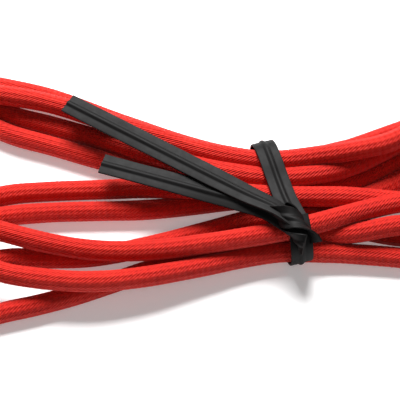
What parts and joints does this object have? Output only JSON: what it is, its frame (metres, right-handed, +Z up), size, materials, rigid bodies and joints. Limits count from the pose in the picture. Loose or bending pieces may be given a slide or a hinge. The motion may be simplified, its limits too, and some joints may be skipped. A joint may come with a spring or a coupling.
{
  "type": "cable shutter release",
  "caption": "Cable shutter release: sprung thumb plunger with finger plate and lock screw, braided cord tied in a hank, and a threaded tip fitting with a release pin.",
  "frame": {"origin": "on the surface it lies on, under the middle of the handle", "axes": "+X along the handle from the cord end to the thumb button, +Z up"},
  "size_m": [0.219, 0.0861, 0.0135],
  "materials": {
    "nickel": "satin nickel plate",
    "steel": "drawn wire",
    "brass": "turned",
    "black_plastic": "moulded",
    "black_tie": "extruded strip, slight gloss",
    "red_braid": "braided cotton"
  },
  "bodies": {
    "handle": {"barrel": "nickel", "finger_plate": "nickel", "plate_nut": "nickel", "guide_bush": "nickel", "handle_ferrule": "nickel", "conduit_end_handle": "red_braid", "return_spring": "steel", "cable_lead_handle": "red_braid", "cable_hank": "red_braid", "cable_lead_tip": "red_braid", "tie_ribbon": "black_tie", "tie_wire": "steel", "tip_ferrule": "nickel", "conduit_end_tip": "red_braid", "tip_stem": "brass"},
    "plunger": {"plunger_rod": "steel", "stop_collar": "brass", "thumb_button": "black_plastic", "core_wire_handle": "steel", "wire_crimp": "brass"},
    "lock_screw": {"lock_screw": "nickel"},
    "tip_collar": {"tip_collar": "nickel"},
    "release_pin": {"release_pin": "steel", "core_wire_tip": "steel"}
  },
  "joints": [
    {"name": "plunger_slide", "type": "slide", "parent": "handle", "child": "plunger", "axis": [-1, 0, 0], "range_m": [0, 0.012], "stiffness_N_per_m": 250, "springref_m": -0.004, "deforming": ["return_spring"]},
    {"name": "pin_slide", "type": "slide", "parent": "handle", "child": "release_pin", "axis": [1, 0, 0], "range_m": [0, 0.012]},
    {"name": "lock_screw_turn", "type": "hinge", "parent": "handle", "child": "lock_screw", "pos_m": [0.013, 0, 0.0046], "axis": [0, 0, 1], "range_deg": [-180, 0]},
    {"name": "tip_collar_spin", "type": "hinge", "parent": "handle", "child": "tip_collar", "pos_m": [-0.005, -0.0655, 0.004], "axis": [1, 0, 0], "continuous": true}
  ],
  "couplings": [
    {"joint": "pin_slide", "follows": "plunger_slide", "ratio": 1}
  ]
}
